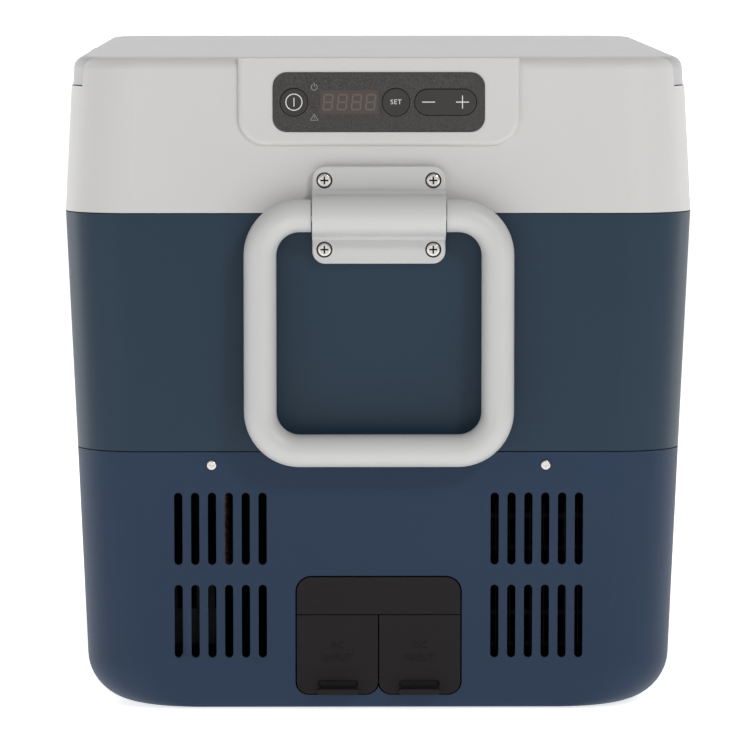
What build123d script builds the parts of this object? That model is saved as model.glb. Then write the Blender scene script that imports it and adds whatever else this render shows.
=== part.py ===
from build123d import *
import math
import os

# A chest-type compressor cooler fridge. Millimetres, +Z up, -Y is the end with the
# control panel, X is the width. The origin is on the floor under the centre. Heights in
# this file are measured from a datum plane DATUM above the floor.

# ---------------------------------------------------------------- overall shape
DATUM = 4.5
HALF_WIDTH_BY_HEIGHT = ((0.0, 178.7), (155.6, 185.3), (301.5, 191.8), (396.0, 187.2))
LENGTH_EXTRA = 103.2            # half length minus half width
PLAN_CORNER = 40.0
FLOOR_GAP = 1.2                 # the feet hold the base this far off the floor
LOW_SEAM = 155.6
HIGH_SEAM = 301.5
SEAM_GAP = 0.6
RIM_HEIGHT = 378.0              # top of the collar where the lid lies
TOP = 396.0
TOP_ROUND = 7.5
WALL = 3.0
SIDE_ROUND = 30.0               # long bottom edges
END_SHARE = 0.18                # how much of that rounding the short bottom edges have
ROUND_STEPS = 6
TONGUE_NEAR = 3.3               # locating tongues, inset from the outside
TONGUE_FAR = 5.3
FOAM_INSET = 5.5
FAR = 400.0                     # longer than anything it has to cut through

# ---------------------------------------------------------------- inside
CAVITY_HALF_X = 142.0
CAVITY_FRONT = -120.0
CAVITY_REAR = 247.0
CAVITY_FLOOR = 50.0
SHELF_FRONT = -240.0
SHELF_FLOOR = 228.0
CAVITY_TOP = 366.0
CAVITY_CORNER = 22.0
LINER_WALL = 1.5
BAY_REAR = -136.0               # compressor bay partition
BAY_TOP = 188.0
PARTITION = 2.0

# ---------------------------------------------------------------- lid
HEAD_REAR = -275.0              # back of the fixed head that carries the controls
LID_GAP = 0.6
LID_INSET = 1.0
LID_WALL = 2.5
PLUG_HALF_X = 136.0
PLUG_FRONT = -233.0
PLUG_REAR = 240.0
PLUG_BOTTOM = 362.0
HINGE_X = 187.2
HINGE_Z = 378.3
HINGE_R = 3.6
HINGE_CLEAR_R = 4.2
HINGE_Y = (-130.0, 150.0)
KNUCKLE = 24.0
EAR = 10.0
PIN_R = 1.5
RUNNING = 0.05
LATCH_Y = 10.0
LATCH_WIDTH = 60.0
LATCH_X = -187.1
LATCH_Z = 387.0
LATCH_BARREL_R = 2.8
LATCH_BOTTOM = 350.0
LATCH_FLOOR_X = -185.3

# ---------------------------------------------------------------- handles
HANDLE_R = 9.9
HANDLE_HALF = 72.0
HANDLE_TOP = 300.8
HANDLE_BOTTOM = 158.1
HANDLE_BEND = 24.0
HANDLE_Y = 308.0
STUB_END = 41.0
AXLE_R = 4.0
AXLE_HALF = 56.0
BRACKET_HALF_X = 40.4
BRACKET_HALF_Z = 29.6
BRACKET_FACE = 299.8
BRACKET_CORNER = 7.7
BARREL_R = 12.6
SCREW_X = 33.0
SCREW_Z = 21.0
SCREW_HEAD_R = 4.2
SCREW_SHANK_R = 2.1
SINK_R = 4.9

# ---------------------------------------------------------------- control pod
POD_HALF = 85.5
POD_BOTTOM = 342.5
POD_PROUD = 3.4
POD_CORNER = 17.5
PANEL_Z = 368.8
PANEL_W = 128.4
PANEL_H = 36.0
PANEL_CORNER = 8.6
PANEL_TOP = 0.5                 # how far the overlay stands above the pod
OVERLAY = 0.8
BEZEL_DEPTH = 7.5
BUTTON_R = 8.35
BUTTON_GAP = 0.35
POWER_X = -51.4
SET_X = 10.4
ROCKER_X = 40.5
ROCKER_W = 37.5
ROCKER_H = 15.7
DISPLAY_X = -17.8
DISPLAY_W = 35.0
DISPLAY_H = 13.4
LED_X = -39.1
LED_RISE = 9.1

# ---------------------------------------------------------------- lower front
VENT_X = 96.7
VENT_PITCH = 10.3
VENT_WIDTH = 5.1
VENT_ROWS = ((85.7, 130.4), (28.1, 73.4))
BASE_SCREW_X = 102.0
BASE_SCREW_Z = 147.4
SOCKET_HALF = 51.0
SOCKET_TOP = 79.4
SOCKET_GAP = 0.9
SOCKET_CORNER = 9.0
WELL_BOTTOM = 16.0
FLAP_SPLIT = 0.4
FLAP_CORNER = 7.5
FLAP_LINE = 54.8
FLAP_BOTTOM = 5.8
RUBBER = 3.0
SOCKET_DEPTH = 22.0
INLET_X = 25.0
INLET_Z = 36.0
TAB_W = 25.0


def half_width(z):
    """Half width of the body at a height, between the listed levels."""
    for (z0, w0), (z1, w1) in zip(HALF_WIDTH_BY_HEIGHT, HALF_WIDTH_BY_HEIGHT[1:]):
        if z <= z1:
            return w0 + (w1 - w0) * (z - z0) / (z1 - z0)
    return HALF_WIDTH_BY_HEIGHT[-1][1]


def half_length(z):
    return half_width(z) + LENGTH_EXTRA


def body_section(z, inset, level):
    half_x = half_width(level) - inset
    half_y = half_length(level) - inset
    return Pos(0, 0, z) * RectangleRounded(2 * half_x, 2 * half_y, PLAN_CORNER - inset)


def body_block(z0, z1, inset=0.0):
    """Solid slice of the body between two heights on one straight stretch of its side."""
    return loft([body_section(z0, inset, z0), body_section(z1, inset, z1)], ruled=True)


def box_between(x, y, z):
    """Box from three (low, high) pairs."""
    size = Box(x[1] - x[0], y[1] - y[0], z[1] - z[0])
    return Pos((x[0] + x[1]) / 2, (y[0] + y[1]) / 2, (z[0] + z[1]) / 2) * size


def tray_block(x, y, z, corner):
    """Box with rounded vertical edges from three (low, high) pairs."""
    outline = RectangleRounded(x[1] - x[0], y[1] - y[0], corner)
    return Pos((x[0] + x[1]) / 2, (y[0] + y[1]) / 2, z[0]) * extrude(outline, z[1] - z[0])


def rod_x(radius, x0, x1, y, z):
    return Pos((x0 + x1) / 2, y, z) * Rot(0, 90, 0) * Cylinder(radius, x1 - x0)


def rod_y(radius, y0, y1, x, z):
    return Pos(x, (y0 + y1) / 2, z) * Rot(90, 0, 0) * Cylinder(radius, y1 - y0)


def rod_z(radius, z0, z1, x, y):
    return Pos(x, y, (z0 + z1) / 2) * Cylinder(radius, z1 - z0)


def tilted_plane(z, low, high):
    """Plane on the front end at height z: local y up the face, local z outwards."""
    rise = high - low
    lean = half_length(high) - half_length(low)
    up = Vector(0, -lean, rise).normalized()
    out = Vector(0, -up.Z, up.Y)
    return Plane(origin=(0, -half_length(z), z), x_dir=(1, 0, 0), z_dir=out)


LOW_FACE = tilted_plane(FLAP_LINE, 0.0, LOW_SEAM)
POD_FACE = tilted_plane(PANEL_Z, HIGH_SEAM, TOP).offset(POD_PROUD)


# ================================================================ casings
def base_solid(inset):
    """Outer or inner volume of the base, with its rounded bottom edges."""
    bottom = FLOOR_GAP - DATUM + inset
    radius = SIDE_ROUND - inset
    slices = []
    for k in range(ROUND_STEPS + 1):
        turn = math.radians(90 * k / ROUND_STEPS)
        z = bottom + radius * (1 - math.cos(turn))
        side = radius * (1 - math.sin(turn))
        half_x = half_width(z) - inset - side
        half_y = half_length(z) - inset - side * END_SHARE
        slices.append(Pos(0, 0, z) * RectangleRounded(2 * half_x, 2 * half_y, PLAN_CORNER - inset))
    block = loft(slices)
    return block + body_block(bottom + radius, LOW_SEAM - SEAM_GAP / 2, inset)


def vent_slots():
    slots = []
    for side in (-1, 1):
        for low, high in VENT_ROWS:
            for k in range(6):
                x = side * VENT_X + (k - 2.5) * VENT_PITCH
                slot = SlotOverall(high - low, VENT_WIDTH, rotation=90)
                place = Pos(x, (low + high) / 2 - FLAP_LINE, 0)
                slots.append(extrude(LOW_FACE * place * slot, 12, both=True))
    return slots


def flap_outline(side, grow=0.0):
    """Outline of one flap on the lower front face, with its two bottom corners rounded."""
    height = FLAP_LINE - FLAP_BOTTOM
    outline = Pos(side * (SOCKET_HALF - SOCKET_GAP + FLAP_SPLIT) / 2, -height / 2 - 0.3)
    outline *= Rectangle(SOCKET_HALF - SOCKET_GAP - FLAP_SPLIT + 2 * grow, height + 2 * grow)
    return fillet(outline.vertices().sort_by(Axis.Y)[:2], FLAP_CORNER + grow)


def header_outline(grow=0.0):
    """Outline of the fixed strip above the flaps, with its top corners rounded."""
    height = SOCKET_TOP - 1.4 - FLAP_LINE - 0.3
    outline = Pos(0, 0.3 + height / 2) * Rectangle(2 * (SOCKET_HALF - SOCKET_GAP + grow), height + 2 * grow)
    return fillet(outline.vertices().sort_by(Axis.Y)[-2:], SOCKET_CORNER + grow)


def recess_outline():
    """Hole in the front wall that follows the rubber cover with a gap all round."""
    outline = flap_outline(-1, SOCKET_GAP) + flap_outline(1, SOCKET_GAP) + header_outline(SOCKET_GAP)
    return outline + Rectangle(2 * SOCKET_HALF, 8)


def on_front(sketch, low, high):
    """Extrude a sketch between two heights above the lower front face; local y is 0 at the flap line."""
    return extrude(LOW_FACE.offset(low) * sketch, high - low)


def socket_well():
    """Plastic tray behind the front wall that carries the inlets."""
    middle = (SOCKET_TOP + WELL_BOTTOM) / 2 - FLAP_LINE
    height = SOCKET_TOP - WELL_BOTTOM
    outer = Pos(0, middle) * RectangleRounded(2 * SOCKET_HALF + 8, height + 8, 6)
    inner = Pos(0, middle) * RectangleRounded(2 * SOCKET_HALF + 4, height + 4, 4)
    well = on_front(outer, -SOCKET_DEPTH - 2, -WALL - 0.2) - on_front(inner, -SOCKET_DEPTH, 0)
    for side in (-1, 1):
        well -= LOW_FACE * Pos(side * INLET_X, INLET_Z - FLAP_LINE, -SOCKET_DEPTH) * Box(31, 25, 8)
    return well & base_solid(WALL + 0.2)


def base_housing():
    shell = base_solid(0) - base_solid(WALL)
    shell -= on_front(recess_outline(), -12, 12)
    for slot in vent_slots():
        shell -= slot
    for end in (-1, 1):
        for x in (-BASE_SCREW_X, BASE_SCREW_X):
            shell -= rod_y(1.6, end * 300 - 25, end * 300 + 25, x, BASE_SCREW_Z)
    return shell


def rubber_feet():
    feet = Part()
    for x in (-110, 110):
        for y in (-225, 225):
            feet += rod_z(14, -DATUM, FLOOR_GAP - DATUM, x, y)
    return feet


def seam_ring(low, high, inset_out, inset_in):
    return body_block(low, high, inset_out) - body_block(low - 1, high + 1, inset_in)


def upper_shell():
    low = LOW_SEAM + SEAM_GAP / 2
    high = HIGH_SEAM - SEAM_GAP / 2
    shell = body_block(low, high) - body_block(low + WALL, high - WALL, WALL)
    shell -= body_block(low - 0.2, high + 0.2, TONGUE_FAR)
    shell += seam_ring(LOW_SEAM - 10, low, TONGUE_NEAR, TONGUE_FAR)
    shell += body_block(high, HIGH_SEAM + 10, TONGUE_NEAR) - body_block(high - 0.1, HIGH_SEAM + 11, TONGUE_FAR)
    for end in (-1, 1):
        for x in (-BASE_SCREW_X, BASE_SCREW_X):
            shell -= rod_y(1.6, end * 300 - 25, end * 300 + 25, x, BASE_SCREW_Z)
        for x in (-SCREW_X, SCREW_X):
            shell -= rod_y(SCREW_SHANK_R, end * 300 - 25, end * 300 + 25, x, HANDLE_TOP - SCREW_Z)
    return shell


def pod():
    """Raised U-shaped pad round the controls, running up to the top edge."""
    bottom = POD_BOTTOM - PANEL_Z
    height = TOP - POD_BOTTOM
    outline = Pos(0, bottom + height / 2 + 10) * Rectangle(2 * POD_HALF, height + 20)
    outline = fillet(outline.vertices().sort_by(Axis.Y)[:2], POD_CORNER)
    pad = extrude(POD_FACE * outline, -9)
    front = pad.faces().sort_by(Axis.Y)[0]
    pad = fillet(front.edges(), 3.0)
    return pad & box_between((-FAR, FAR), (-FAR, -280), (0, TOP - 0.6))


def top_collar():
    block = body_block(HIGH_SEAM + SEAM_GAP / 2, TOP)
    block = fillet(block.faces().sort_by(Axis.Z)[-1].edges(), TOP_ROUND)
    block += pod()
    block -= box_between((-FAR, FAR), (HEAD_REAR, FAR), (RIM_HEIGHT, FAR))
    hollow = body_block(HIGH_SEAM, RIM_HEIGHT - WALL, WALL)
    block -= hollow
    block -= box_between((-150, 150), (-288.4, HEAD_REAR - 2), (340, TOP - WALL))
    opening = tray_block((-CAVITY_HALF_X, CAVITY_HALF_X), (SHELF_FRONT, CAVITY_REAR), (360, 380), CAVITY_CORNER)
    block -= opening
    block -= extrude(POD_FACE * RectangleRounded(PANEL_W + 0.4, PANEL_H + 0.4, PANEL_CORNER + 0.2), 1.2, both=True)
    block -= extrude(POD_FACE * RectangleRounded(PANEL_W - 2.6, PANEL_H - 2.6, PANEL_CORNER - 1), 20, both=True)
    block = cut_hinge_seats(block)
    block = cut_latch_seat(block)
    for end in (-1, 1):
        for x in (-SCREW_X, SCREW_X):
            block -= rod_y(SCREW_SHANK_R, end * 300 - 25, end * 300 + 25, x, HANDLE_TOP + SCREW_Z)
    return block


def cut_hinge_seats(block):
    """Ears for the hinge pins, with room between them for the knuckles of the lid."""
    for y in HINGE_Y:
        ears_low = y - KNUCKLE / 2 - EAR
        ears_high = y + KNUCKLE / 2 + EAR
        ears = rod_y(HINGE_R, ears_low, ears_high, HINGE_X, HINGE_Z)
        web = box_between((HINGE_X - HINGE_R, HINGE_X + 1.4), (ears_low, ears_high), (362, HINGE_Z))
        block += ears
        block += web
        block -= rod_y(HINGE_CLEAR_R, y - KNUCKLE / 2, y + KNUCKLE / 2, HINGE_X, HINGE_Z)
        block -= rod_y(PIN_R, ears_low - 1, ears_high + 1, HINGE_X, HINGE_Z)
    return block


def cut_latch_seat(block):
    """Shallow pocket in the side where the latch lever lies flush."""
    y = (LATCH_Y - LATCH_WIDTH / 2 - 2, LATCH_Y + LATCH_WIDTH / 2 + 2)
    block += box_between((LATCH_FLOOR_X - 0.5, LATCH_FLOOR_X + WALL), y, (344, RIM_HEIGHT - 1))
    block -= box_between((-FAR, LATCH_FLOOR_X), y, (347, RIM_HEIGHT + 1))
    return block


# ================================================================ inside the cabinet
def cavity(grow, top):
    """Stepped storage space: a deep well and a shallow shelf over the compressor."""
    x = (-CAVITY_HALF_X - grow, CAVITY_HALF_X + grow)
    corner = CAVITY_CORNER + grow
    well = tray_block(x, (CAVITY_FRONT - grow, CAVITY_REAR + grow), (CAVITY_FLOOR - grow, top), corner)
    shelf = tray_block(x, (SHELF_FRONT - grow, CAVITY_REAR + grow), (SHELF_FLOOR - grow, top), corner)
    return well + shelf


def inner_liner():
    liner = cavity(LINER_WALL, CAVITY_TOP) - cavity(0, CAVITY_TOP + 1)
    flange = tray_block((-152, 152), (SHELF_FRONT - 10, CAVITY_REAR + 10), (CAVITY_TOP, CAVITY_TOP + 2), 30)
    flange -= cavity(0, CAVITY_TOP + 4)
    liner += flange
    liner -= lamp_body(0.2)
    return liner


def evaporator_plate():
    x = (-CAVITY_HALF_X - 3, CAVITY_HALF_X + 3)
    y = (CAVITY_FRONT - 3, CAVITY_REAR + 3)
    sleeve = tray_block(x, y, (90, 210), CAVITY_CORNER + 3)
    return sleeve - cavity(LINER_WALL, 300)


def lamp_body(grow=0.0):
    return box_between((-22 - grow, 22 + grow), (-248 - grow, SHELF_FRONT), (330 - grow, 342 + grow))


def interior_lamp():
    return lamp_body()


def bay_space(grow):
    return box_between((-FAR, FAR), (-FAR, BAY_REAR + grow), (-DATUM, BAY_TOP + grow))


def bay_partition():
    wall = bay_space(PARTITION) - bay_space(0)
    lower = base_solid(FOAM_INSET) + body_block(LOW_SEAM - SEAM_GAP / 2, 220, FOAM_INSET)
    return wall & lower


def insulation_foam():
    foam = base_solid(WALL) & box_between((-FAR, FAR), (-FAR, FAR), (-DATUM, 144))
    foam += body_block(140, LOW_SEAM, FOAM_INSET)
    foam += body_block(LOW_SEAM, HIGH_SEAM, FOAM_INSET)
    foam += body_block(HIGH_SEAM, CAVITY_TOP, FOAM_INSET)
    foam -= bay_space(PARTITION)
    foam -= cavity(LINER_WALL, CAVITY_TOP + 5)
    foam -= tray_block((-146, 146), (CAVITY_FRONT - 4, CAVITY_REAR + 4), (89, 211), CAVITY_CORNER + 4)
    foam -= lamp_body(1.0)
    foam -= box_between((-152, 152), (-FAR, -272), (338, FAR))
    foam -= box_between((-FAR, LATCH_FLOOR_X + WALL), (-30, 50), (340, FAR))
    for y in HINGE_Y:
        foam -= box_between((HINGE_X - HINGE_R - 1, FAR), (y - 30, y + 30), (358, FAR))
    for end in (-1, 1):
        foam -= box_between((-45, 45), (end * 292 - 14, end * 292 + 14), (262, 337))
    return foam


def backplate(end):
    """Steel plate behind the wall that the handle screws bite into."""
    plate = box_between((-42, 42), (end * 285 - 1.5, end * 285 + 1.5), (HANDLE_TOP - 34, HANDLE_TOP + 34))
    for x in (-SCREW_X, SCREW_X):
        for z in (HANDLE_TOP - SCREW_Z, HANDLE_TOP + SCREW_Z):
            plate -= rod_y(SCREW_SHANK_R, end * 285 - 5, end * 285 + 5, x, z)
    return plate


# ================================================================ handles
def bracket(end):
    outline = RectangleRounded(2 * BRACKET_HALF_X, 2 * BRACKET_HALF_Z, BRACKET_CORNER)
    plate = Pos(0, 0, HANDLE_TOP) * Rot(90, 0, 0) * extrude(outline, BRACKET_FACE - 285)
    plate = Pos(0, -285, 0) * plate
    plate = fillet(plate.faces().sort_by(Axis.Y)[0].edges(), 1.0)
    barrel = rod_x(BARREL_R, -BRACKET_HALF_X, BRACKET_HALF_X, -HANDLE_Y + 0.6, HANDLE_TOP)
    neck = box_between(
        (-BRACKET_HALF_X, BRACKET_HALF_X), (-HANDLE_Y, -290), (HANDLE_TOP - BARREL_R, HANDLE_TOP + BARREL_R)
    )
    ramp = box_between((-BRACKET_HALF_X, BRACKET_HALF_X), (-304, -290), (HANDLE_TOP - 15, HANDLE_TOP + 15))
    ramp_edges = ramp.edges().filter_by(Axis.X).group_by(Axis.Y)[0]
    ramp = chamfer(ramp_edges, 3.5, 2.3)
    solid = plate + barrel + neck + ramp
    solid -= body_block(200, HIGH_SEAM, -0.02)
    solid -= body_block(HIGH_SEAM, TOP, -0.02)
    solid -= rod_x(AXLE_R, -60, 60, -HANDLE_Y, HANDLE_TOP)
    for x in (-SCREW_X, SCREW_X):
        for z in (HANDLE_TOP - SCREW_Z, HANDLE_TOP + SCREW_Z):
            solid -= rod_y(SCREW_SHANK_R, -320, -280, x, z)
            solid -= rod_y(SINK_R, -320, -BRACKET_FACE + 1.2, x, z)
    return to_end(solid, end)


def to_end(solid, end):
    """Copy of a front piece for either end of the cabinet."""
    return solid if end < 0 else Rot(0, 0, 180) * solid


def handle(end):
    corners = (
        (-STUB_END, HANDLE_TOP),
        (-HANDLE_HALF, HANDLE_TOP),
        (-HANDLE_HALF, HANDLE_BOTTOM),
        (HANDLE_HALF, HANDLE_BOTTOM),
        (HANDLE_HALF, HANDLE_TOP),
        (STUB_END, HANDLE_TOP),
    )
    points = [(x, -HANDLE_Y, z) for x, z in corners]
    path = FilletPolyline(*points, radius=HANDLE_BEND)
    start = Plane(origin=points[0], z_dir=(-1, 0, 0))
    tube = sweep(start * Circle(HANDLE_R), path=path)
    tube -= rod_x(AXLE_R + RUNNING, -AXLE_HALF - 0.5, AXLE_HALF + 0.5, -HANDLE_Y, HANDLE_TOP)
    return to_end(tube, end)


def axle(end):
    return to_end(rod_x(AXLE_R, -AXLE_HALF, AXLE_HALF, -HANDLE_Y, HANDLE_TOP), end)


def pan_screw(x, face, z, head_r, shank_r, length):
    """Pan-head cross-slot screw pointing into the front end."""
    head_height = head_r * 0.4
    head = Pos(0, 0, head_height / 2) * Cylinder(head_r, head_height)
    head = fillet(head.edges().group_by(Axis.Z)[-1], head_height * 0.7)
    screw = head + Pos(0, 0, -length / 2 + 0.2) * Cylinder(shank_r, length)
    cross = Box(head_r * 1.15, head_r * 0.28, 1.6) + Box(head_r * 0.28, head_r * 1.15, 1.6)
    screw -= Pos(0, 0, head_height) * cross
    return Pos(x, face, z) * Rot(90, 0, 0) * screw


def bracket_screws():
    screws = Part()
    for x in (-SCREW_X, SCREW_X):
        for z in (HANDLE_TOP - SCREW_Z, HANDLE_TOP + SCREW_Z):
            screw = pan_screw(x, -BRACKET_FACE + 1.2, z, SCREW_HEAD_R, SCREW_SHANK_R, 14.0)
            screws += screw
            screws += to_end(screw, 1)
    return screws


def base_screws():
    screws = Part()
    face = -half_length(BASE_SCREW_Z)
    for x in (-BASE_SCREW_X, BASE_SCREW_X):
        screw = pan_screw(x, face - 0.3, BASE_SCREW_Z, 3.0, 1.6, 5.6)
        screws += screw
        screws += to_end(screw, 1)
    return screws


# ================================================================ lid
def lid_solid(inset, top, z0=RIM_HEIGHT + LID_GAP, rounding=0.0):
    """Slice of the lid's volume, with its top edge rounded if asked."""
    block = body_block(z0, top, LID_INSET + inset)
    if rounding:
        block = fillet(block.faces().sort_by(Axis.Z)[-1].edges(), rounding)
    front = HEAD_REAR + LID_GAP + inset
    return block & box_between((-FAR, FAR), (front, FAR), (0, FAR))


def lid_outer():
    shell = lid_solid(0, TOP, rounding=TOP_ROUND)
    shell -= lid_solid(LID_WALL, TOP - LID_WALL, RIM_HEIGHT, TOP_ROUND - LID_WALL)
    for y in HINGE_Y:
        low = y - KNUCKLE / 2 - EAR
        high = y + KNUCKLE / 2 + EAR
        shell -= rod_y(HINGE_CLEAR_R, low - 0.5, high + 0.5, HINGE_X, HINGE_Z)
        span = (y - KNUCKLE / 2 + 0.5, y + KNUCKLE / 2 - 0.5)
        shell += rod_y(HINGE_R, span[0], span[1], HINGE_X, HINGE_Z)
        shell += box_between((HINGE_X - 6, HINGE_X - 0.06), span, (RIM_HEIGHT + LID_GAP, RIM_HEIGHT + 9))
        shell -= rod_y(PIN_R + RUNNING, low - 1, high + 1, HINGE_X, HINGE_Z)
    y0 = LATCH_Y - LATCH_WIDTH / 2
    y1 = LATCH_Y + LATCH_WIDTH / 2
    shell += box_between((LATCH_X + 1, -176), (y0 - 4, y1 + 4), (RIM_HEIGHT + LID_GAP, TOP - LID_WALL))
    shell -= box_between((-FAR, LATCH_X + 4.6), (y0 - 0.4, y1 + 0.4), (0, LATCH_Z + LATCH_BARREL_R + 0.8))
    shell -= rod_y(PIN_R, y0 - 3, y1 + 3, LATCH_X, LATCH_Z)
    return shell


def lid_liner():
    """Inner panel of the lid with the plug that drops into the storage space."""
    skirt = LID_WALL + 0.3
    plate = lid_solid(skirt, RIM_HEIGHT + 3.0, RIM_HEIGHT + 1.0)
    plug = tray_block((-PLUG_HALF_X, PLUG_HALF_X), (PLUG_FRONT, PLUG_REAR), (PLUG_BOTTOM, RIM_HEIGHT + 2), 20)
    inner = tray_block(
        (-PLUG_HALF_X + 2, PLUG_HALF_X - 2), (PLUG_FRONT + 2, PLUG_REAR - 2), (PLUG_BOTTOM + 2, FAR), 18
    )
    panel = plate + plug - inner
    panel -= box_between((175, FAR), (-170, 190), (0, FAR))
    panel -= box_between((-FAR, -175), (LATCH_Y - 38, LATCH_Y + 38), (0, FAR))
    panel -= gasket_ring(0.2)
    return panel


def gasket_ring(grow):
    low = RIM_HEIGHT + 0.35
    high = RIM_HEIGHT + 2.0 + grow
    outer = tray_block((-160 - grow, 160 + grow), (-262 - grow, 266 + grow), (low, high), 30)
    return outer - tray_block((-152 + grow, 152 - grow), (-254 + grow, 258 - grow), (low - 1, high + 1), 22)


def lid_gasket():
    return gasket_ring(0.0)


def lid_foam():
    core = tray_block((-168, 168), (-268, 280), (RIM_HEIGHT + 3.2, TOP - LID_WALL - 1.2), 26)
    plug = tray_block(
        (-PLUG_HALF_X + 2.2, PLUG_HALF_X - 2.2), (PLUG_FRONT + 2.2, PLUG_REAR - 2.2), (PLUG_BOTTOM + 2.2, TOP - 6), 19
    )
    return core + plug


def hinge_pins():
    pins = Part()
    for y in HINGE_Y:
        pins += rod_y(PIN_R, y - KNUCKLE / 2 - EAR, y + KNUCKLE / 2 + EAR, HINGE_X, HINGE_Z)
    return pins


def latch_pin():
    return rod_y(PIN_R, LATCH_Y - LATCH_WIDTH / 2 - 3, LATCH_Y + LATCH_WIDTH / 2 + 3, LATCH_X, LATCH_Z)


def latch_lever():
    y = (LATCH_Y - LATCH_WIDTH / 2, LATCH_Y + LATCH_WIDTH / 2)
    lever = rod_y(LATCH_BARREL_R, y[0], y[1], LATCH_X, LATCH_Z)
    lever += box_between((LATCH_X - LATCH_BARREL_R, LATCH_X), y, (LATCH_BOTTOM, LATCH_Z))
    lever += box_between((LATCH_X - LATCH_BARREL_R, LATCH_FLOOR_X - 0.5), y, (LATCH_BOTTOM + 12, LATCH_BOTTOM + 15))
    lever -= rod_y(PIN_R + RUNNING, y[0] - 1, y[1] + 1, LATCH_X, LATCH_Z)
    return lever


# ================================================================ controls
def round_hole(x, y, radius):
    return Pos(x, y, 0) * Circle(radius)


def panel_holes(grow):
    """Outlines of the button openings, in the plane of the panel."""
    holes = round_hole(POWER_X, 0, BUTTON_R + grow)
    holes += round_hole(SET_X, 0, BUTTON_R + grow)
    holes += Pos(ROCKER_X, 0) * SlotOverall(ROCKER_W + 2 * grow, ROCKER_H + 2 * grow)
    return holes


def on_pod(sketch, low, high):
    """Extrude a sketch from one height to another above the face of the pod."""
    return extrude(POD_FACE.offset(low) * sketch, high - low)


def control_overlay():
    outline = RectangleRounded(PANEL_W, PANEL_H, PANEL_CORNER) - panel_holes(BUTTON_GAP)
    return on_pod(outline, PANEL_TOP - OVERLAY, PANEL_TOP)


def control_bezel():
    outer = RectangleRounded(PANEL_W - 3, PANEL_H - 3, PANEL_CORNER - 1.2)
    inner = RectangleRounded(PANEL_W - 7, PANEL_H - 7, PANEL_CORNER - 3)
    top = PANEL_TOP - OVERLAY
    tub = on_pod(outer, -BEZEL_DEPTH, top) - on_pod(inner, -BEZEL_DEPTH - 1, top - 1.6)
    tub -= on_pod(panel_holes(BUTTON_GAP), -20, 20)
    window = Pos(DISPLAY_X, 0) * Rectangle(DISPLAY_W + 2, DISPLAY_H + 2)
    return tub - on_pod(window, -20, 20)


def display_module():
    body = Pos(DISPLAY_X, 0) * Rectangle(DISPLAY_W, DISPLAY_H)
    return on_pod(body, -BEZEL_DEPTH, PANEL_TOP - OVERLAY - 0.2)


def control_board():
    return on_pod(Rectangle(PANEL_W - 8, PANEL_H - 8), -BEZEL_DEPTH - 1.6, -BEZEL_DEPTH)


def key_switches():
    switches = Part()
    for x in (POWER_X, SET_X, ROCKER_X - 11, ROCKER_X + 11):
        switches += on_pod(Pos(x, 0) * Rectangle(6, 6), -BEZEL_DEPTH, -BEZEL_DEPTH + 1.6)
    return switches


def status_leds():
    lamps = Part()
    for y in (-LED_RISE, LED_RISE):
        lamps += on_pod(Pos(LED_X, y) * Rectangle(3.2, 2.2), -BEZEL_DEPTH, -BEZEL_DEPTH + 2.0)
    return lamps


def push_button(x):
    cap = on_pod(round_hole(x, 0, BUTTON_R), -3.2, PANEL_TOP)
    cap = fillet(cap.faces().sort_by(Axis.Y)[0].edges(), 0.4)
    dish = Pos(0, 0, 60 + PANEL_TOP - 0.35) * Sphere(60)
    cap -= POD_FACE * Pos(x, 0, 0) * dish
    return cap + on_pod(round_hole(x, 0, 1.8), -BEZEL_DEPTH + 2.6, -3.2)


def power_button():
    return push_button(POWER_X)


def set_button():
    return push_button(SET_X)


def rocker_button():
    cap = on_pod(Pos(ROCKER_X, 0) * SlotOverall(ROCKER_W, ROCKER_H), -2.6, PANEL_TOP)
    cap = fillet(cap.faces().sort_by(Axis.Y)[0].edges(), 0.5)
    for x in (ROCKER_X - 11, ROCKER_X + 11):
        cap += on_pod(round_hole(x, 0, 1.6), -BEZEL_DEPTH + 2.6, -2.6)
    return cap


# ================================================================ sockets
def socket_cover():
    """Fixed rubber strip above the two flaps, with a stem that holds it in the well."""
    strip = header_outline() & Pos(0, 20) * Rectangle(2 * SOCKET_HALF, 40)
    cover = on_front(strip, -RUBBER - 1, 0.4)
    stem = Pos(0, 12.5) * Rectangle(2 * SOCKET_HALF - 24, 9)
    return cover + on_front(stem, -SOCKET_DEPTH, -RUBBER - 1)


def flap(side):
    """Rubber flap over one inlet, with its finger tab and sealing plug."""
    below = Pos(0, -25.3) * Rectangle(2 * SOCKET_HALF, 50)
    panel = on_front(flap_outline(side) & below, -RUBBER, 0.0)
    bottom = FLAP_BOTTOM - FLAP_LINE
    scoop = Pos(side * INLET_X, bottom + 6.2) * RectangleRounded(TAB_W, 4.4, 2.1)
    panel -= on_front(scoop, -1.6, 1)
    tab = Pos(side * INLET_X, bottom + 2.0) * RectangleRounded(TAB_W, 3.4, 1.6)
    plug = Pos(side * INLET_X, INLET_Z - FLAP_LINE) * RectangleRounded(20, 12, 4)
    return panel + on_front(tab, -1.0, 7.0) + on_front(plug, -RUBBER - 3, -RUBBER)


def inlet(side, contacts):
    """Power inlet set in the back wall of the socket recess."""
    place = Pos(side * INLET_X, INLET_Z - FLAP_LINE)
    body = on_front(place * RectangleRounded(30, 24, 3), -SOCKET_DEPTH - 14, -SOCKET_DEPTH + 2)
    body += on_front(place * RectangleRounded(36, 30, 3), -SOCKET_DEPTH, -SOCKET_DEPTH + 2)
    body -= on_front(place * RectangleRounded(22, 14, 5), -SOCKET_DEPTH - 11, -SOCKET_DEPTH + 3)
    for x in contacts:
        body += on_front(place * Pos(x, 0) * Circle(1.2), -SOCKET_DEPTH - 11.5, -SOCKET_DEPTH - 3)
    return body


# ================================================================ cooling unit
COMP_X = -18.0
COMP_Y = -192.0
PLATE_TOP = 11.0


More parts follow.
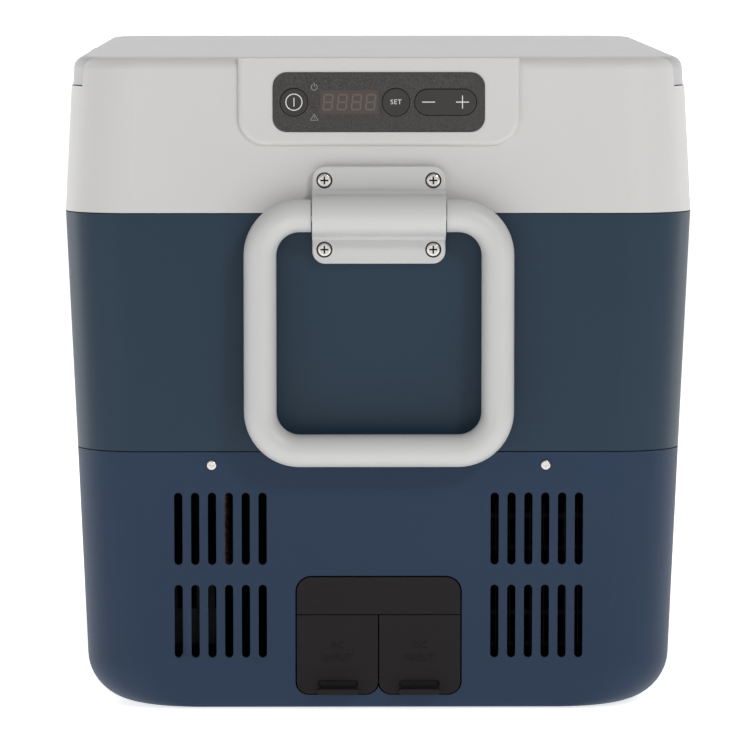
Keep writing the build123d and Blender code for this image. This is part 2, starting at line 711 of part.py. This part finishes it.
def mounting_plate():
    return box_between((-135, 130), (-240, -146), (PLATE_TOP - 2, PLATE_TOP))


def compressor_grommets():
    grommets = Part()
    for dx in (-44, 44):
        for dy in (-36, 36):
            grommets += rod_z(7, PLATE_TOP, PLATE_TOP + 9, COMP_X + dx, COMP_Y + dy)
    return grommets


def compressor():
    base = PLATE_TOP + 9
    profile = Polyline((0, base), (40, base), (46, base + 8), (46, base + 92), (34, base + 110), (0, base + 112), close=True)
    can = revolve(Plane.XZ * make_face(profile), Axis.Z)
    can += rod_z(49, base + 54, base + 59, 0, 0)
    can += box_between((-52, 52), (-44, 44), (base, base + 3))
    can += box_between((40, 58), (-16, 16), (base + 24, base + 50))
    can += rod_z(4, base + 108, base + 122, 0, 18)
    can += rod_z(3, base + 108, base + 122, 14, -14)
    return Pos(COMP_X, COMP_Y, 0) * can


def condenser_tubes(radius):
    tubes = []
    for k in range(5):
        z = 34 + k * 20
        tubes.append(rod_x(radius, 66, 158, -262, z))
    return tubes


def condenser_coil():
    coil = Part()
    for tube in condenser_tubes(3.0):
        coil += tube
    for k in range(4):
        x = 158 if k % 2 == 0 else 66
        coil += rod_z(3.0, 34 + k * 20, 54 + k * 20, x, -262)
    return coil


def condenser_fins():
    fins = Part()
    for k in range(20):
        x = 72 + k * 4.2
        fins += box_between((x, x + 0.4), (-272, -252), (26, 122))
    for tube in condenser_tubes(3.02):
        fins -= tube
    return fins


FAN_X = 112.0
FAN_Z = 76.0
FAN_FRONT = -246.0
FAN_DEPTH = 25.0


def fan_frame():
    frame = box_between((FAN_X - 46, FAN_X + 46), (FAN_FRONT, FAN_FRONT + FAN_DEPTH), (FAN_Z - 46, FAN_Z + 46))
    frame -= rod_y(43.5, FAN_FRONT - 1, FAN_FRONT + FAN_DEPTH + 1, FAN_X, FAN_Z)
    arms = Part()
    for k in range(4):
        arm = Pos(FAN_X, FAN_FRONT + FAN_DEPTH - 2, FAN_Z) * Rot(0, 45 + 90 * k, 0) * Pos(30, 0, 0) * Box(32, 4, 5)
        arms += arm
    frame += arms
    frame += rod_y(18, FAN_FRONT + FAN_DEPTH - 4, FAN_FRONT + FAN_DEPTH, FAN_X, FAN_Z)
    return frame - rod_y(2.05, FAN_FRONT + 10, FAN_FRONT + FAN_DEPTH - 1, FAN_X, FAN_Z)


def fan_rotor():
    hub = rod_y(17, FAN_FRONT + 3, FAN_FRONT + 19, FAN_X, FAN_Z)
    hub += rod_y(2.0, FAN_FRONT + 15, FAN_FRONT + 23, FAN_X, FAN_Z)
    for k in range(7):
        blade = Pos(FAN_X, FAN_FRONT + 11, FAN_Z) * Rot(0, k * 360 / 7, 0) * Pos(28, 0, 0) * Rot(35, 0, 0) * Box(25, 1.8, 16)
        hub += blade
    return hub


def drive_module():
    body = box_between((-158, -96), (-262, -196), (34, 74))
    for k in range(8):
        x = -154 + k * 7.6
        body -= box_between((x, x + 4), (-264, -194), (56, 76))
    return body


def module_bracket():
    return box_between((-132, -98), (-238, -200), (PLATE_TOP, 34))


def filter_drier():
    drier = rod_z(9, 70, 130, -98, -156)
    drier += Pos(-98, -156, 130) * Cone(9, 3, 12, align=(Align.CENTER, Align.CENTER, Align.MIN))
    drier += Pos(-98, -156, 58) * Cone(3, 9, 12, align=(Align.CENTER, Align.CENTER, Align.MIN))
    return drier


def pipe(points, radius, bend):
    path = FilletPolyline(*points, radius=bend)
    start = Vector(*points[0])
    ahead = (Vector(*points[1]) - start).normalized()
    return sweep(Plane(origin=start, z_dir=ahead) * Circle(radius), path=path)


def discharge_pipe():
    top = PLATE_TOP + 9 + 122
    x = COMP_X + 14
    y = COMP_Y - 14
    return pipe(((x, y, top), (x, y, top + 18), (166, y, top + 18), (166, -262, top + 18), (166, -262, 120)), 3.0, 8)


def suction_pipe():
    top = PLATE_TOP + 9 + 122
    x = COMP_X
    y = COMP_Y + 18
    return pipe(((x, y, top), (x, y, top + 30), (-60, y, top + 30), (-60, BAY_REAR, top + 30)), 4.0, 10)


def fan_bracket():
    return box_between((FAN_X - 40, 130), (-244, -224), (PLATE_TOP, FAN_Z - 46))


# ================================================================ export
def all_parts():
    return {
        "base_housing": base_housing(),
        "rubber_feet": rubber_feet(),
        "socket_well": socket_well(),
        "upper_shell": upper_shell(),
        "top_collar": top_collar(),
        "inner_liner": inner_liner(),
        "evaporator_plate": evaporator_plate(),
        "interior_lamp": interior_lamp(),
        "bay_partition": bay_partition(),
        "insulation_foam": insulation_foam(),
        "front_backplate": backplate(-1),
        "rear_backplate": backplate(1),
        "front_handle_bracket": bracket(-1),
        "rear_handle_bracket": bracket(1),
        "front_handle": handle(-1),
        "rear_handle": handle(1),
        "front_handle_axle": axle(-1),
        "rear_handle_axle": axle(1),
        "bracket_screws": bracket_screws(),
        "base_screws": base_screws(),
        "lid_outer": lid_outer(),
        "lid_liner": lid_liner(),
        "lid_gasket": lid_gasket(),
        "lid_foam": lid_foam(),
        "hinge_pins": hinge_pins(),
        "latch_pin": latch_pin(),
        "latch_lever": latch_lever(),
        "control_overlay": control_overlay(),
        "control_bezel": control_bezel(),
        "display_module": display_module(),
        "control_board": control_board(),
        "key_switches": key_switches(),
        "status_leds": status_leds(),
        "power_button": power_button(),
        "set_button": set_button(),
        "rocker_button": rocker_button(),
        "socket_cover": socket_cover(),
        "ac_flap": flap(-1),
        "dc_flap": flap(1),
        "ac_inlet": inlet(-1, (-4, 4)),
        "dc_inlet": inlet(1, (-5, 0, 5)),
        "mounting_plate": mounting_plate(),
        "compressor_grommets": compressor_grommets(),
        "compressor": compressor(),
        "condenser_coil": condenser_coil(),
        "condenser_fins": condenser_fins(),
        "fan_frame": fan_frame(),
        "fan_bracket": fan_bracket(),
        "fan_rotor": fan_rotor(),
        "drive_module": drive_module(),
        "module_bracket": module_bracket(),
        "filter_drier": filter_drier(),
        "discharge_pipe": discharge_pipe(),
        "suction_pipe": suction_pipe(),
    }


os.makedirs("parts", exist_ok=True)
for name, solid in all_parts().items():
    export_step(Pos(0, 0, DATUM) * solid, os.path.join("parts", name + ".step"))
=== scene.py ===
import math

import bpy
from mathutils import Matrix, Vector

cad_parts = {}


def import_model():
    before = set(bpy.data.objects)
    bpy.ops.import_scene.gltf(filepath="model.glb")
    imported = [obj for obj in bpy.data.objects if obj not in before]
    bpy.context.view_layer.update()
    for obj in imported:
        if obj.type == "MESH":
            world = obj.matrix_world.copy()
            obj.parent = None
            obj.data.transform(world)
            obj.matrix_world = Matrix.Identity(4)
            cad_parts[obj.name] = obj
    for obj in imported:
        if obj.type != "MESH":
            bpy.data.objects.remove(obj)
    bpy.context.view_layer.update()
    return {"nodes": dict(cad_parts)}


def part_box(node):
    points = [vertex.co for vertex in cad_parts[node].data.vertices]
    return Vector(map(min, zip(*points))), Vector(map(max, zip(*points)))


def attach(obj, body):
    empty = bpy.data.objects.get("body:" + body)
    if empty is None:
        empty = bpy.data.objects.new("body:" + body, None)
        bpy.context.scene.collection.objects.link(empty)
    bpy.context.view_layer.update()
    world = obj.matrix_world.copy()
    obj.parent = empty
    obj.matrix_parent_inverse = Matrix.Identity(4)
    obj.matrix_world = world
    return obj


# Looks of the compressor cooler fridge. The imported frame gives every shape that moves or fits.
# This script adds materials, printed marks, raised lettering, the camera and the light. Metres.

MM = 0.001

# marks on the control panel
POWER_ICON_R = 4.9 * MM
POWER_ICON_LINE = 0.55 * MM
POWER_ICON_ARM = 2.4 * MM
POWER_ICON_SUNK = 0.1 * MM
POWER_ICON_DEPTH = 0.13 * MM
SET_SIZE = 4.1 * MM
SET_SUNK = 0.28 * MM
SET_DEPTH = 0.12 * MM
MINUS_X = -10.4 * MM            # from the middle of the rocker
PLUS_X = 10.2 * MM
SMALL_LINE = 0.4 * MM
STANDBY_GAP = math.radians(32)
TRIANGLE_LINE = 0.38 * MM
SMALL_ICON_R = 1.8 * MM
SMALL_ICON_X = -39.1 * MM       # from the middle of the panel
SMALL_ICON_RISE = 9.1 * MM
MARK_LENGTH = 7.4 * MM
MARK_LINE = 0.58 * MM
DIGIT_HEIGHT = 9.0 * MM
DIGIT_WIDTH = 5.2 * MM
DIGIT_PITCH = 8.6 * MM
DIGIT_LINE = 0.9 * MM
DIGIT_SLANT = 0.10
WINDOW_WIDTH = 35.0 * MM
WINDOW_HEIGHT = 14.5 * MM
WINDOW_DEPTH = 0.005 * MM
DIGIT_DEPTH = 0.012 * MM
PRINT_DEPTH = 0.04 * MM

# heads of the bracket screws
SCREW_HEAD_R = 4.2 * MM
COUNTERBORE_R = 4.9 * MM
COUNTERBORE_DEPTH = 1.5 * MM
GAP_WIDTH = 0.65 * MM
SLOT_WIDTH = 0.9 * MM
SLOT_DEPTH = 0.78 * MM
# thickness of the painted shade sheets in the screw gaps and slots
GAP_SHADE_THICKNESS = 0.3 * MM
SLOT_SHADE_THICKNESS = 0.05 * MM

# raised words on the two flaps
FLAP_WORD_SIZE = 6.2 * MM
FLAP_WORD_DEPTH = 0.2 * MM
WORD_RISE = 0.11                # share of the flap's height above its middle
INPUT_RISE = -0.05

# camera, measured from the front of the upper shell
CAMERA_SIDE = -0.030
CAMERA_HEIGHT = 0.4885
CAMERA_DISTANCE = 3.25
AIM_SIDE = -0.0023
AIM_HEIGHT = 0.2076
LENS_MM = 257.4


# ================================================================ materials
class Nodes:
    """Small helper round one material's node tree."""

    def __init__(self, name):
        self.material = bpy.data.materials.new(name)
        self.material.use_nodes = True
        self.tree = self.material.node_tree
        self.shader = self.tree.nodes["Principled BSDF"]
        self.coords = self.tree.nodes.new("ShaderNodeTexCoord")

    def link(self, out, into):
        self.tree.links.new(out, into)

    def noise(self, scale, detail=3.0, stretch=(1, 1, 1)):
        mapping = self.tree.nodes.new("ShaderNodeMapping")
        mapping.inputs["Scale"].default_value = stretch
        self.link(self.coords.outputs["Object"], mapping.inputs["Vector"])
        noise = self.tree.nodes.new("ShaderNodeTexNoise")
        noise.inputs["Scale"].default_value = scale
        noise.inputs["Detail"].default_value = detail
        self.link(mapping.outputs["Vector"], noise.inputs["Vector"])
        return noise.outputs["Fac"]

    def spread(self, value, low, high):
        """Value between 0.3 and 0.7 stretched to low and high."""
        ranged = self.tree.nodes.new("ShaderNodeMapRange")
        ranged.inputs["From Min"].default_value = 0.3
        ranged.inputs["From Max"].default_value = 0.7
        ranged.inputs["To Min"].default_value = low
        ranged.inputs["To Max"].default_value = high
        self.link(value, ranged.inputs["Value"])
        return ranged.outputs["Result"]

    def colour(self, value, dark, light):
        ramp = self.tree.nodes.new("ShaderNodeValToRGB")
        ramp.color_ramp.elements[0].position = 0.3
        ramp.color_ramp.elements[0].color = (*dark, 1)
        ramp.color_ramp.elements[1].position = 0.7
        ramp.color_ramp.elements[1].color = (*light, 1)
        self.link(value, ramp.inputs["Fac"])
        self.link(ramp.outputs["Color"], self.shader.inputs["Base Color"])

    def bump(self, value, depth, strength=1.0):
        bump = self.tree.nodes.new("ShaderNodeBump")
        bump.inputs["Distance"].default_value = depth
        bump.inputs["Strength"].default_value = strength
        self.link(value, bump.inputs["Height"])
        self.link(bump.outputs["Normal"], self.shader.inputs["Normal"])


def shade(colour, factor):
    return tuple(c * factor for c in colour)


def linear(red, green, blue):
    """Linear colour from 0-255 display values."""
    return tuple(((v / 255 + 0.055) / 1.055) ** 2.4 if v > 10 else v / 3294.6 for v in (red, green, blue))


def moulded(name, colour, rough=0.5, grain=900, depth=0.00002, vary=0.04, specular=0.5, drift_scale=6):
    """Injection-moulded plastic with a spark-eroded grain and slow colour drift."""
    nodes = Nodes(name)
    drift = nodes.noise(drift_scale, 2)
    nodes.colour(drift, shade(colour, 1 - vary), shade(colour, 1 + vary))
    fine = nodes.noise(grain, 2)
    nodes.link(nodes.spread(fine, rough - 0.05, rough + 0.05), nodes.shader.inputs["Roughness"])
    nodes.bump(fine, depth)
    nodes.shader.inputs["Specular IOR Level"].default_value = specular
    return nodes.material


def metal(name, colour, rough):
    """Bare or plated metal with drawn or brushed lines."""
    nodes = Nodes(name)
    lines = nodes.noise(400, 3, (1, 1, 12))
    nodes.colour(lines, shade(colour, 0.85), colour)
    nodes.link(nodes.spread(lines, rough - 0.08, rough + 0.1), nodes.shader.inputs["Roughness"])
    nodes.bump(lines, 0.00001)
    nodes.shader.inputs["Metallic"].default_value = 1.0
    return nodes.material


def printed(name, colour, rough=0.45):
    """Screen-printed ink, a little uneven."""
    nodes = Nodes(name)
    speck = nodes.noise(2500, 2)
    nodes.colour(speck, shade(colour, 0.9), colour)
    nodes.link(nodes.spread(speck, rough - 0.05, rough + 0.05), nodes.shader.inputs["Roughness"])
    return nodes.material


def all_materials():
    grey = linear(200, 199, 197)
    return {
        "grey": moulded("grey_plastic", grey, 0.52, 1400, 0.000015, 0.012),
        "lid": moulded("lid_plastic", linear(176, 176, 178), 0.42, 1400, 0.00001, 0.015),
        "handle": moulded("handle_plastic", linear(193, 193, 192), 0.42, 1600, 0.00001, 0.01),
        "upper": moulded("blue_satin", linear(27, 48, 65), 0.42, 1500, 0.00001, 0.03, 0.27),
        "lower": moulded("blue_grained", linear(28, 48, 73), 0.5, 1100, 0.00003, 0.03, 0.27),
        "rubber": moulded("black_rubber", linear(25, 22, 23), 0.72, 900, 0.00003, 0.08, 0.24),
        "panel": moulded("panel_film", linear(60, 58, 57), 0.55, 2600, 0.00007, 0.5, 0.35, 1300),
        "button": moulded("button_plastic", linear(50, 48, 46), 0.48, 2400, 0.00002, 0.08, 0.4),
        # near-black for the dark parts inside; the same material makes the painted shade in the screw gaps
        "inside": moulded("dark_inside", linear(8, 8, 9), 0.6, 700, 0.00002, 0.2, 0.2),
        "liner": moulded("liner_plastic", linear(228, 228, 226), 0.38, 1000, 0.00001, 0.02),
        "foam": moulded("foam", linear(232, 214, 160), 0.9, 500, 0.0004, 0.08, 0.1),
        "steel": metal("plated_steel", (0.78, 0.76, 0.73), 0.28),
        "copper": metal("copper_tube", (0.85, 0.45, 0.3), 0.3),
        "aluminium": metal("aluminium", (0.8, 0.8, 0.82), 0.35),
        "white_ink": printed("white_ink", linear(226, 224, 220)),
        "grey_ink": printed("grey_ink", linear(140, 138, 136)),
        "window": printed("display_window", linear(70, 61, 56), 0.5),
        "digit": printed("unlit_segment", linear(98, 88, 80)),
    }


NODE_MATERIALS = {
    "grey": ("top_collar",),
    "lid": ("lid_outer",),
    "handle": (
        "front_handle", "rear_handle", "front_handle_bracket", "rear_handle_bracket", "latch_lever",
    ),
    "upper": ("upper_shell",),
    "lower": ("base_housing",),
    "rubber": (
        "rubber_feet", "socket_cover", "ac_flap", "dc_flap", "lid_gasket", "compressor_grommets",
    ),
    "panel": ("control_overlay", "control_bezel"),
    "button": ("power_button", "set_button", "rocker_button"),
    "inside": (
        "display_module", "key_switches", "ac_inlet", "dc_inlet", "compressor", "condenser_fins",
        "fan_frame", "fan_bracket", "fan_rotor", "drive_module", "module_bracket", "control_board",
        "condenser_coil", "mounting_plate", "bay_partition", "socket_well",
    ),
    "liner": ("inner_liner", "lid_liner", "interior_lamp", "status_leds"),
    "foam": ("insulation_foam", "lid_foam"),
    "steel": (
        "bracket_screws", "base_screws", "front_handle_axle", "rear_handle_axle", "hinge_pins",
        "latch_pin", "front_backplate", "rear_backplate",
    ),
    "copper": ("filter_drier", "discharge_pipe", "suction_pipe"),
    "aluminium": ("evaporator_plate",),
}


def dress_nodes(nodes, materials):
    for key, names in NODE_MATERIALS.items():
        for name in names:
            slots = nodes[name].data.materials
            slots.clear()
            slots.append(materials[key])


# ================================================================ flat marks
class Plane:
    """Upright or leaning plane: right along +X, up the face, out of the object."""

    def __init__(self, origin, out):
        self.origin = origin
        self.out = out
        self.right = Vector((1, 0, 0))
        self.up = out.cross(self.right).normalized()

    def point(self, x, y, lift=0.0):
        return self.origin + self.right * x + self.up * y + self.out * lift


class Face(Plane):
    """Plane on the front of a node, with its origin at the node's centre."""

    def __init__(self, node):
        mesh = node.data
        normal = Vector()
        offset = 0.0
        area = 0.0
        for polygon in mesh.polygons:
            if polygon.normal.y < -0.99:
                normal += polygon.normal * polygon.area
        out = normal.normalized()
        for polygon in mesh.polygons:
            if polygon.normal.dot(out) > 0.9995:
                offset += polygon.center.dot(out) * polygon.area
                area += polygon.area
        low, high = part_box(node.name)
        middle = (low + high) / 2
        super().__init__(middle + out * (offset / area - middle.dot(out)), out)


def disc_points(cx, cy, radius, start=0.0, end=2 * math.pi, steps=40):
    angles = [start + (end - start) * k / steps for k in range(steps + 1)]
    return [(cx + radius * math.cos(a), cy + radius * math.sin(a)) for a in angles]


def ring(cx, cy, radius, line, start=0.0, end=2 * math.pi):
    """Quads of a ring or an arc."""
    outer = disc_points(cx, cy, radius + line / 2, start, end)
    inner = disc_points(cx, cy, radius - line / 2, start, end)
    return [[outer[k], outer[k + 1], inner[k + 1], inner[k]] for k in range(len(outer) - 1)]


def bar(x0, y0, x1, y1, line):
    """Round-ended stroke between two points."""
    turn = math.atan2(y1 - y0, x1 - x0)
    half = line / 2
    tail = disc_points(x0, y0, half, turn + math.pi / 2, turn + 3 * math.pi / 2, 8)
    nose = disc_points(x1, y1, half, turn - math.pi / 2, turn + math.pi / 2, 8)
    return [tail + nose]


def mark(name, polygons, face, material, body, lift=0.0, depth=PRINT_DEPTH):
    """Thin raised piece from flat polygons on a face, which moves with the named body."""
    vertices = []
    faces = []
    for polygon in polygons:
        first = len(vertices)
        count = len(polygon)
        vertices += [face.point(x, y, lift) for x, y in polygon]
        vertices += [face.point(x, y, lift + depth) for x, y in polygon]
        faces.append([first + count + k for k in range(count)])
        faces.append([first + k for k in reversed(range(count))])
        for k in range(count):
            after = (k + 1) % count
            faces.append([first + k, first + after, first + count + after, first + count + k])
    mesh = bpy.data.meshes.new(name)
    mesh.from_pydata([tuple(v) for v in vertices], [], faces)
    mesh.materials.append(material)
    piece = bpy.data.objects.new(name, mesh)
    bpy.context.scene.collection.objects.link(piece)
    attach(piece, body)


def lettering(name, text, size, x, y, face, material, body, lift, depth):
    """Raised or printed generic word."""
    curve = bpy.data.curves.new(name, "FONT")
    curve.body = text
    curve.size = size
    curve.align_x = "CENTER"
    curve.align_y = "CENTER"
    curve.extrude = depth
    curve.space_character = 1.12
    curve.materials.append(material)
    piece = bpy.data.objects.new(name, curve)
    bpy.context.scene.collection.objects.link(piece)
    tilt = math.atan2(face.up.y, face.up.z)
    piece.rotation_euler = (math.pi / 2 - tilt, 0, 0)
    piece.location = face.point(x, y, lift)
    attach(piece, body)


def centre_on(face, node):
    """Place of a node's middle on a face, as (right, up)."""
    low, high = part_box(node)
    offset = (low + high) / 2 - face.origin
    return offset.dot(face.right), offset.dot(face.up)


def button_marks(face, materials):
    ink = materials["white_ink"]
    x, y = centre_on(face, "power_button")
    strokes = ring(x, y, POWER_ICON_R, POWER_ICON_LINE)
    strokes += bar(x, y - POWER_ICON_ARM, x, y + POWER_ICON_ARM, POWER_ICON_LINE)
    mark("power_icon", strokes, face, ink, "power_button", -POWER_ICON_SUNK, POWER_ICON_DEPTH)
    x, y = centre_on(face, "set_button")
    lettering("set_word", "SET", SET_SIZE, x, y, face, ink, "set_button", -SET_SUNK, SET_DEPTH)
    x, y = centre_on(face, "rocker_button")
    half = MARK_LENGTH / 2
    left = x + MINUS_X
    right = x + PLUS_X
    strokes = bar(left - half, y, left + half, y, MARK_LINE)
    strokes += bar(right - half, y, right + half, y, MARK_LINE)
    mark("rocker_marks", strokes, face, ink, "rocker_button")
    upright = bar(right, y - half, right, y + half, MARK_LINE)
    mark("rocker_plus_upright", upright, face, ink, "rocker_button", 0.005 * MM)


def status_marks(face, materials):
    ink = materials["grey_ink"]
    x = SMALL_ICON_X
    y = SMALL_ICON_RISE
    start = math.pi / 2 + STANDBY_GAP
    end = 5 * math.pi / 2 - STANDBY_GAP
    strokes = ring(x, y, SMALL_ICON_R, SMALL_LINE, start, end)
    strokes += bar(x, y + 0.6 * MM, x, y + 2.6 * MM, SMALL_LINE)
    mark("standby_icon", strokes, face, ink, "cabinet")
    y = -SMALL_ICON_RISE
    top = (x, y + 2.0 * MM)
    left = (x - 2.3 * MM, y - 1.8 * MM)
    right = (x + 2.3 * MM, y - 1.8 * MM)
    strokes = []
    for start, end in ((top, left), (left, right), (right, top)):
        strokes += bar(*start, *end, TRIANGLE_LINE)
    strokes += bar(x, y - 0.5 * MM, x, y + 0.6 * MM, SMALL_LINE)
    mark("warning_icon", strokes, face, ink, "cabinet")


def digit_strokes(cx, cy, height, width, line, slant):
    """The seven segments of one digit, leaning to the right."""
    half_w = width / 2
    half_h = height / 2
    trim = line * 0.75

    def lean(x, y):
        return cx + x + slant * y, cy + y

    strokes = []
    for y in (-half_h, 0, half_h):
        strokes += bar(*lean(-half_w + trim, y), *lean(half_w - trim, y), line)
    for x in (-half_w, half_w):
        for low, high in ((-half_h, 0), (0, half_h)):
            strokes += bar(*lean(x, low + trim), *lean(x, high - trim), line)
    return strokes


def display_marks(face, materials):
    x, y = centre_on(face, "display_module")
    half_w = WINDOW_WIDTH / 2
    half_h = WINDOW_HEIGHT / 2
    outline = [(x + sx * half_w, y + sy * half_h) for sx, sy in ((-1, -1), (1, -1), (1, 1), (-1, 1))]
    mark("display_window", [outline], face, materials["window"], "cabinet", 0, WINDOW_DEPTH)
    for k in range(4):
        cx = x + (k - 1.5) * DIGIT_PITCH
        strokes = digit_strokes(cx, y, DIGIT_HEIGHT, DIGIT_WIDTH, DIGIT_LINE, DIGIT_SLANT)
        mark(f"display_digit_{k + 1}", strokes, face, materials["digit"], "cabinet", 0, DIGIT_DEPTH)


def screw_shadows(materials):
    """Painted shade: near-black rings on the floor of the gap round each front bracket screw, and
    near-black crosses in its cross slot, standing in for the shadow there.
    """
    low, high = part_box("bracket_screws")
    middle = Vector((0, low.y, (low.z + high.z) / 2))
    face = Plane(middle, Vector((0, -1, 0)))
    half_x = high.x - SCREW_HEAD_R
    half_z = (high.z - low.z) / 2 - SCREW_HEAD_R
    arm = SCREW_HEAD_R * 0.5
    strokes = []
    slots = []
    for x in (-half_x, half_x):
        for y in (-half_z, half_z):
            strokes += ring(x, y, COUNTERBORE_R - GAP_WIDTH / 2, GAP_WIDTH)
            slots += bar(x - arm, y, x + arm, y, SLOT_WIDTH)
            slots += bar(x, y - arm, x, y + arm, SLOT_WIDTH)
    # painted shade: dark sheets in the screw gaps and slots, where shadow falls
    mark("screw_counterbore_shade", strokes, face, materials["inside"], "cabinet", -COUNTERBORE_DEPTH, GAP_SHADE_THICKNESS)
    mark("screw_slot_shade", slots, face, materials["inside"], "cabinet", -SLOT_DEPTH, SLOT_SHADE_THICKNESS)


def flap_lettering(nodes, materials):
    for body, word in (("ac_flap", "AC"), ("dc_flap", "DC")):
        face = Face(nodes[body])
        low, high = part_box(body)
        height = high.z - low.z
        for text, rise in ((word, WORD_RISE), ("INPUT", INPUT_RISE)):
            name = f"{body}_{text.lower()}"
            lettering(name, text, FLAP_WORD_SIZE, 0, rise * height, face, materials["rubber"], body, 0,
                      FLAP_WORD_DEPTH)


# ================================================================ stage
def area_light(name, location, target, width, height, watts):
    light = bpy.data.lights.new(name, "AREA")
    light.shape = "RECTANGLE"
    light.size = width
    light.size_y = height
    light.energy = watts
    light.color = (1, 1, 1)
    lamp = bpy.data.objects.new(name, light)
    lamp.location = location
    aim = Vector(target) - Vector(location)
    lamp.rotation_euler = aim.to_track_quat("-Z", "Y").to_euler()
    bpy.context.scene.collection.objects.link(lamp)


def build_lights():
    middle = (0, -0.1, 0.25)
    area_light("key", (1.5, -2.7, 1.9), middle, 0.45, 0.45, 29)
    area_light("fill", (-2.3, -2.6, 1.0), middle, 1.8, 2.0, 9)
    area_light("top", (0.1, 0.3, 2.4), (0, 0.1, 0.3), 2.2, 2.2, 11)
    area_light("left_strip", (-1.5, 0.5, 0.7), (0, -0.2, 0.3), 0.7, 1.8, 9)
    area_light("right_strip", (1.5, 0.5, 0.7), (0, -0.2, 0.3), 0.4, 1.8, 6)


def build_world():
    world = bpy.data.worlds.new("studio")
    world.use_nodes = True
    background = world.node_tree.nodes["Background"]
    background.inputs["Color"].default_value = (1, 1, 1, 1)
    background.inputs["Strength"].default_value = 0.28
    bpy.context.scene.world = world


def build_floor():
    """Pale floor that sweeps up into the backdrop."""
    half_width = 14.0
    bend_start = 12.0
    radius = 2.0
    wall_top = 9.0
    steps = 12
    profile = [(-half_width, 0.0), (bend_start, 0.0)]
    for k in range(1, steps + 1):
        turn = math.radians(90 * k / steps)
        profile.append((bend_start + radius * math.sin(turn), radius * (1 - math.cos(turn))))
    profile.append((bend_start + radius, wall_top))
    vertices = []
    for y, z in profile:
        vertices.append((-half_width, y, z))
        vertices.append((half_width, y, z))
    faces = [(2 * k, 2 * k + 1, 2 * k + 3, 2 * k + 2) for k in range(len(profile) - 1)]
    mesh = bpy.data.meshes.new("floor")
    mesh.from_pydata(vertices, [], faces)
    for polygon in mesh.polygons:
        polygon.use_smooth = True
    nodes = Nodes("floor_paper")
    nodes.colour(nodes.noise(3, 2), (0.94, 0.94, 0.94), (0.96, 0.96, 0.96))
    nodes.shader.inputs["Roughness"].default_value = 0.9
    nodes.shader.inputs["Emission Color"].default_value = (1, 1, 1, 1)
    nodes.shader.inputs["Emission Strength"].default_value = 0.75
    mesh.materials.append(nodes.material)
    floor = bpy.data.objects.new("floor", mesh)
    bpy.context.scene.collection.objects.link(floor)


def build_camera(front_y):
    lens = bpy.data.cameras.new("camera")
    lens.lens = LENS_MM
    lens.sensor_width = 36
    lens.clip_end = 50
    camera = bpy.data.objects.new("camera", lens)
    camera.location = (CAMERA_SIDE, front_y - CAMERA_DISTANCE, CAMERA_HEIGHT)
    aim = Vector((AIM_SIDE, front_y, AIM_HEIGHT)) - camera.location
    camera.rotation_euler = aim.to_track_quat("-Z", "Y").to_euler()
    bpy.context.scene.collection.objects.link(camera)
    bpy.context.scene.camera = camera


def main():
    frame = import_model()
    nodes = frame["nodes"]
    bpy.context.scene.view_settings.view_transform = "Standard"
    materials = all_materials()
    build_camera(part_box("upper_shell")[0].y)
    build_world()
    build_lights()
    build_floor()
    dress_nodes(nodes, materials)
    face = Face(nodes["control_overlay"])
    button_marks(face, materials)
    status_marks(face, materials)
    display_marks(face, materials)
    screw_shadows(materials)
    flap_lettering(nodes, materials)


main()
